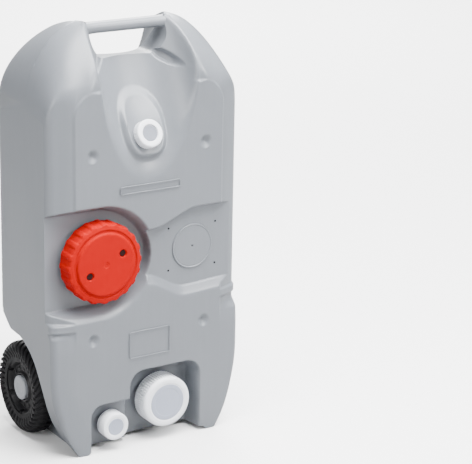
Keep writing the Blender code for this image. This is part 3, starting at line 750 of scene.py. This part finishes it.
def cap_outside(name, port):
    """Corners of a cap's outside from its rim to its middle, and how far they are rounded."""
    outer, crown = port["cap"], port["height"] + CAP_BASE
    if name == "inlet":
        return [(outer, CAP_BASE), (outer + 0.0004, crown - 0.0080), (outer - 0.0016, crown - 0.0030),
                (outer - 0.0085, crown - 0.0014), (outer - 0.0098, crown - 0.0030),
                (outer - 0.0135, crown - 0.0030), (outer - 0.0150, crown + 0.0010),
                (outer - 0.0175, crown + 0.0018), (0.0060, crown + 0.0018), (0.0048, crown + 0.0010),
                (0.0016, crown + 0.0010), (0.0012, crown + 0.0004), (0.0002, crown + 0.0004)], 0.0012
    disc = outer * DISC_SHARE[name]
    bulge = 0.0052 if name == "drain" else 0.0026
    corners = [(outer, CAP_BASE), (outer, crown - bulge), (outer - 0.3 * bulge, crown - 0.3 * bulge),
               (outer - bulge, crown), (disc + 0.0012, crown)]
    if name == "vent":
        corners += [(disc - 0.0002, crown - 0.0004), (disc - 0.0006, crown - 0.0026)]
    else:
        corners += [(disc, crown - 0.0008)]
    return corners + [(0.0002, corners[-1][1])], 0.0030 if name == "drain" else 0.0014


def make_cap(name, port, look, teeth):
    """A screw cap: gripping teeth round its skirt, a stepped face and a thread inside."""
    inner = port["neck"] + port["thread"] + 0.0011
    deck = port["reach"] + SEAL_THICKNESS + 2 * GAP
    path = [(0.0002, deck), (inner, deck), (inner, CAP_BASE), (port["cap"], CAP_BASE)]
    inside = densified(rounded_profile(path, 0.0008, 4), 0.0010)
    corners, radius = cap_outside(name, port)
    outside = densified(rounded_profile(corners, radius, 6), 0.0013)
    profile = np.concatenate([inside, outside[1:]])
    crown = port["height"] + CAP_BASE
    start = port["reach"] - port["lead"] * 1.10

    def shape(a, r, h):
        """Cuts the teeth into the skirt, the thread into the bore and the key holes into the red cap."""
        wave = np.abs(np.cos(a * teeth / 2.0))
        if name == "inlet":
            comb = port["tooth"] * (smooth((wave - 0.62) / 0.34) - 0.10)
            reach = smooth((r - (port["cap"] - 0.0080)) / 0.0050) * smooth((crown - 0.0004 - h) / 0.0035)
        else:
            comb = -port["tooth"] * (1.0 - wave) ** 1.2
            reach = smooth((r - (port["cap"] - 0.0040)) / 0.0030) * smooth((crown - 0.0060 - h) / 0.004)
        skirt = smooth((h - CAP_BASE + 0.0005) / 0.001)
        grown = r + np.where(r > inner + 0.0006, comb * reach * skirt, 0.0)
        ridge = thread_ridge(a, h, start, 1.0, port["lead"], port["thread"])
        grown = grown - np.where(np.abs(r - inner) < 0.0003, ridge, 0.0)
        if name == "inlet":
            for at in KEY_HOLE_ANGLES:
                x = grown * np.cos(a) - KEY_HOLE_OUT * math.cos(at)
                y = grown * np.sin(a) - KEY_HOLE_OUT * math.sin(at)
                sunk = 0.0032 * smooth((0.0074 - np.hypot(x, y)) / 0.0010)
                h = h - np.where(h > crown, sunk, 0.0)
        return grown, h

    steps, placing = teeth * port["steps"], port_placing(port)
    body = name + "_cap"
    piece = turned_piece(name + "_cap_detail", profile, steps, placing, LOOKS[look], body, shape)
    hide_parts(name + "_cap")
    if name == "inlet":
        for i, at in enumerate(KEY_HOLE_ANGLES):
            place = (KEY_HOLE_OUT * math.cos(at), KEY_HOLE_OUT * math.sin(at), crown - 0.0012)
            sunk = placing @ Matrix.Translation(place)
            # a near-black disc at the floor of each key hole, as painted shade
            shade_disc = rounded_profile([(0.0064, 0.0), (0.0060, 0.0006), (0.0002, 0.0002)], 0.0003)
            turned_piece(f"key_hole_{i}", shade_disc, 24, sunk, LOOKS["shade_disc"], "inlet_cap")
    else:
        disc = port["cap"] * DISC_SHARE[name] - 0.0012
        low = crown - (0.0022 if name == "vent" else 0.0010)
        face = rounded_profile([(disc, low), (disc - 0.0003, low + 0.0006), (disc * 0.78, low + 0.0006),
                                (disc * 0.75, low + 0.0003), (0.0002, low + 0.0003)], 0.0004)
        # the vent's disc takes the darker copy, which is painted shade
        shade = LOOKS["vent_disc_painted_shade"] if name == "vent" else LOOKS["disc"]
        turned_piece(name + "_cap_disc", face, 120, placing, shade, body)


# ---- Wheels -----------------------------------------------------------------------------------


def wheel_placing(side):
    """Local Z runs along the axle, away from the tank."""
    return Matrix.Translation(AXLE) @ Matrix.Rotation(side * math.pi / 2, 4, "Y")


def make_tyre(name, placing):
    """The tyre: a round section whose ribs sweep over the tread and down both side walls.

    Between the ribs the surface is moved inwards, across its own profile.
    """
    low, high, middle = 0.1375, 0.1845, 0.1610
    seat, lip, ribs, groove_depth = 0.0606, 0.0500, 38.0, 0.0034
    corners = [(seat, low + 0.004), (seat, high - 0.0060), (lip, high - 0.0058), (lip, high - 0.0046),
               (0.0620, high - 0.0030), (0.0690, high), (0.0790, high - 0.0030),
               (WHEEL_RADIUS - 0.0010, high - 0.0115), (WHEEL_RADIUS, middle),
               (WHEEL_RADIUS - 0.0010, low + 0.0115), (0.0790, low + 0.0030), (0.0690, low),
               (0.0640, low + 0.0006), (seat, low + 0.004)]
    profile = densified(rounded_profile(corners, 0.0050, 6), 0.0014)
    ahead = np.gradient(profile, axis=0)
    ahead /= np.linalg.norm(ahead, axis=1)[:, None]
    inward = np.stack([ahead[:, 1], -ahead[:, 0]], axis=-1)

    def shape(a, r, h):
        """Sinks the grooves between the swept ribs."""
        sweep = 0.192 * smooth((WHEEL_RADIUS - r) / 0.024) + 3.0 * np.abs(h - middle)
        wave = 0.5 + 0.5 * np.cos(ribs * (a + sweep))
        groove = smooth((wave - 0.50) / 0.32)
        reach = smooth((r - 0.0560) / 0.0060)
        centre = 1.0 - 0.70 * smooth(1.0 - np.abs(h - middle) / 0.0035)
        cut = groove_depth * groove * reach * centre
        return r + inward[:, :1] * cut, h + inward[:, 1:] * cut

    steps, look = int(16 * ribs), LOOKS["tyre"]
    piece = turned_piece(name + "_tyre_detail", profile, steps, placing, look, name, shape, 0)
    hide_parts(name + "_tyre")


def make_rim(name, placing):
    """The wheel's disc: a stepped face with six slots, twelve low ribs and a collar for the hub cap."""
    bore, collar, edge = 0.0090, 0.0237, 0.0602
    inner_face, outer_face = 0.1385, 0.1785
    corners = [(bore, inner_face), (bore, 0.1680), (0.0150, 0.1680), (0.0168, 0.1665), (collar, 0.1665),
               (collar, 0.1738), (0.0262, 0.1745), (0.0300, 0.1700), (0.0420, 0.1682), (0.0450, 0.1740),
               (0.0480, 0.1778), (0.0560, 0.1780), (edge, outer_face), (edge, 0.1415), (0.0550, 0.1415),
               (0.0520, 0.1560), (0.0480, 0.1600), (0.0190, 0.1600), (0.0165, 0.1570), (0.0150, inner_face),
               (bore, inner_face)]
    profile = densified(rounded_profile(corners, 0.0014, 5), 0.0012)

    def shape(a, r, h):
        """Sinks the slots and raises the ribs on the outer face."""
        face = (h > 0.1660) & (r > 0.0280)
        six, twelve = 0.5 + 0.5 * np.cos(6.0 * a), 0.5 + 0.5 * np.cos(12.0 * a)
        slot = smooth((six - 0.90) / 0.07) * smooth(1.0 - np.abs(r - 0.0475) / 0.0050)
        rib = smooth((twelve - 0.80) / 0.15) * smooth(1.0 - np.abs(r - 0.0355) / 0.0070)
        return r, h + np.where(face, 0.0024 * rib - 0.0090 * slot, 0.0)

    piece = turned_piece(name + "_rim_detail", profile, 360, placing, LOOKS["wheel"], name, shape)
    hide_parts(name + "_rim")


def make_hub_cap(name, placing):
    """The hub cap: a shallow cup that closes the collar of the wheel's disc."""
    edge, inner, seat = 0.0225, 0.0200, 0.1668
    corners = [(0.0002, 0.1776), (inner, 0.1776), (inner, seat), (edge, seat), (edge, 0.1780),
               (edge - 0.0020, 0.1797), (0.0100, 0.1800), (0.0095, 0.1796), (0.0002, 0.1796)]
    profile = densified(rounded_profile(corners, 0.0010), 0.0015)
    look = LOOKS["hub_cap"]
    piece = turned_piece(name + "_hub_cap_detail", profile, 96, placing, look, name)
    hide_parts(name + "_hub_cap")


# ---- Studio -----------------------------------------------------------------------------------


CAMERA_TURNS = (-33.09, 17.13, 1.115)
CAMERA_AIM = Vector((0.1793, FRONT_Y, 0.3734))
CAMERA_AWAY = 3.5686
LENS = 150.2
FLOOR_HALF = 15.0
FLOOR_DROP = 0.0005

# Each light: where it is, where it points, its two sides and its power
LIGHTS = {
    "top": ((0.35, -0.75, 3.0), (0, 0, 0.4), (2.4, 2.4), 500.0),
    "key": ((1.5, -2.8, 1.9), (0, 0, 0.4), (1.0, 1.0), 114.0),
    "left": ((-2.8, -1.0, 1.3), (0, 0, 0.4), (1.0, 1.8), 58.0),
    "floor_wash": ((2.4, 3.6, 3.2), (2.2, 3.2, 0.0), (3.0, 3.0), 700.0),
}


def view_axes():
    """Right, up and backward directions of the camera, from its azimuth, elevation and slight roll."""
    azimuth, elevation, roll = (math.radians(value) for value in CAMERA_TURNS)
    back = Vector((math.sin(azimuth) * math.cos(elevation), -math.cos(azimuth) * math.cos(elevation),
                   math.sin(elevation)))
    right = (-back).cross(Vector((0, 0, 1))).normalized()
    up = right.cross(-back)
    return right * math.cos(roll) + up * math.sin(roll), up * math.cos(roll) - right * math.sin(roll), back


def add_light(name, place, aim, size, power):
    """A white rectangular lamp at a place, turned to shine at its aim."""
    lamp = bpy.data.lights.new(name, "AREA")
    lamp.shape = "RECTANGLE"
    lamp.size, lamp.size_y = size
    lamp.energy = power
    made = bpy.data.objects.new(name, lamp)
    made.location = place
    made.rotation_euler = (Vector(aim) - Vector(place)).to_track_quat("-Z", "Y").to_euler()
    bpy.context.scene.collection.objects.link(made)


def make_camera():
    """A long lens in front of the tote, a little to its left and above."""
    right, up, back = view_axes()
    data = bpy.data.cameras.new("camera")
    data.sensor_width = 36.0
    data.lens = LENS
    data.clip_start, data.clip_end = 0.05, 100.0
    camera = bpy.data.objects.new("camera", data)
    turn = Matrix((right, up, back)).transposed().to_4x4()
    camera.matrix_world = Matrix.Translation(CAMERA_AIM + back * CAMERA_AWAY) @ turn
    bpy.context.scene.collection.objects.link(camera)
    bpy.context.scene.camera = camera


def make_floor():
    """A wide sheet of pale paper, shown paler to the camera than it is when it lights the tote."""
    mesh = bpy.data.meshes.new("floor")
    half, z = FLOOR_HALF, -FLOOR_DROP
    corners = [(-half, -half, z), (half, -half, z), (half, half, z), (-half, half, z)]
    mesh.from_pydata(corners, [], [(0, 1, 2, 3)])
    floor = bpy.data.objects.new("floor", mesh)
    bpy.context.scene.collection.objects.link(floor)
    material, place, shader = new_material("floor_paper")
    seen = place.node("ShaderNodeLightPath")
    paper = place.noise(0.7).between((0.93, 0.93, 0.93, 1), (0.95, 0.95, 0.95, 1))
    connect(place, shader, Base_Color=seen.between((0.35, 0.35, 0.35, 1), paper), Roughness=0.9)
    mesh.materials.append(material)


def make_lights():
    """An even white sky and four lamps."""
    world = bpy.data.worlds.new("studio")
    bpy.context.scene.world = world
    world.use_nodes = True
    background = world.node_tree.nodes["Background"]
    background.inputs["Color"].default_value = (1.0, 1.0, 1.0, 1.0)
    background.inputs["Strength"].default_value = 0.42
    for name, values in LIGHTS.items():
        add_light(name, *values)


# ---- Add-on -----------------------------------------------------------------------------------


class ToteSettings(bpy.types.PropertyGroup):
    """The few sizes of the visual model that a user would change."""

    detail: bpy.props.FloatProperty(
        name="Detail", description="Fineness of the tank's grids; 1 is the finished model",
        default=1.0, min=0.3, max=1.0)
    inlet_teeth: bpy.props.IntProperty(
        name="Inlet cap teeth", description="Gripping teeth round the large inlet cap",
        default=20, min=8, max=40)
    drain_teeth: bpy.props.IntProperty(
        name="Drain cap ribs", description="Fine ribs round the drain cap", default=60, min=20, max=90)


class TOTE_OT_looks(bpy.types.Operator):
    """Make every material of the tote and give one to each piece of the frame."""

    bl_idname = "tote.looks"
    bl_label = "Materials"

    def execute(self, context):
        make_looks()
        slots = {entry["node"]: entry["material_slot"] for entry in frame["record"]["subparts"]}
        for name, node in frame["nodes"].items():
            node.data.materials.clear()
            node.data.materials.append(LOOKS[slots[name]])
        return {"FINISHED"}


class TOTE_OT_tank(bpy.types.Operator):
    """Build the moulded tank with its recesses, carrying bar, moulded marks and threaded necks."""

    bl_idname = "tote.tank"
    bl_label = "Tank"

    def execute(self, context):
        make_tank(context.scene.tote.detail)
        make_grip()
        make_marks()
        for name, port in PORTS.items():
            make_neck(name, port)
        return {"FINISHED"}


class TOTE_OT_caps(bpy.types.Operator):
    """Build the four screw caps."""

    bl_idname = "tote.caps"
    bl_label = "Screw caps"

    def execute(self, context):
        settings = context.scene.tote
        teeth = {"inlet": settings.inlet_teeth, "drain": settings.drain_teeth}
        for name, port in PORTS.items():
            look = "inlet_cap" if name == "inlet" else "white_cap"
            make_cap(name, port, look, teeth.get(name, SMALL_CAP_TEETH))
        return {"FINISHED"}


class TOTE_OT_wheels(bpy.types.Operator):
    """Build the ribbed tyres, wheel discs and hub caps."""

    bl_idname = "tote.wheels"
    bl_label = "Wheels"

    def execute(self, context):
        for name, side in (("left_wheel", -1), ("right_wheel", 1)):
            for make in (make_tyre, make_rim, make_hub_cap):
                make(name, wheel_placing(side))
        return {"FINISHED"}


class TOTE_OT_studio(bpy.types.Operator):
    """Set up the camera, the pale floor and the soft lights."""

    bl_idname = "tote.studio"
    bl_label = "Studio"

    def execute(self, context):
        make_camera()
        make_floor()
        make_lights()
        return {"FINISHED"}


class TOTE_PT_panel(bpy.types.Panel):
    """Lists the settings and every step of the build."""

    bl_idname = "TOTE_PT_panel"
    bl_label = "Waste Tote"
    bl_space_type = "VIEW_3D"
    bl_region_type = "UI"
    bl_category = "Waste Tote"

    def draw(self, context):
        for name in ("detail", "inlet_teeth", "drain_teeth"):
            self.layout.prop(context.scene.tote, name)
        for operator in OPERATORS:
            self.layout.operator(operator.bl_idname)


OPERATORS = (TOTE_OT_looks, TOTE_OT_tank, TOTE_OT_caps, TOTE_OT_wheels, TOTE_OT_studio)
CLASSES = (ToteSettings,) + OPERATORS + (TOTE_PT_panel,)


def register():
    """Adds the classes and the scene's settings."""
    for entry in CLASSES:
        bpy.utils.register_class(entry)
    bpy.types.Scene.tote = bpy.props.PointerProperty(type=ToteSettings)


def unregister():
    """Takes away what register added."""
    del bpy.types.Scene.tote
    for entry in reversed(CLASSES):
        bpy.utils.unregister_class(entry)


def main():
    """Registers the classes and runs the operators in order."""
    for found in [o for o in bpy.data.objects if o.name in ("Cube", "Light", "Camera")]:
        bpy.data.objects.remove(found)
    register()
    bpy.ops.tote.looks()
    bpy.ops.tote.tank()
    bpy.ops.tote.caps()
    bpy.ops.tote.wheels()
    bpy.ops.tote.studio()


if __name__ == "__main__":
    main()
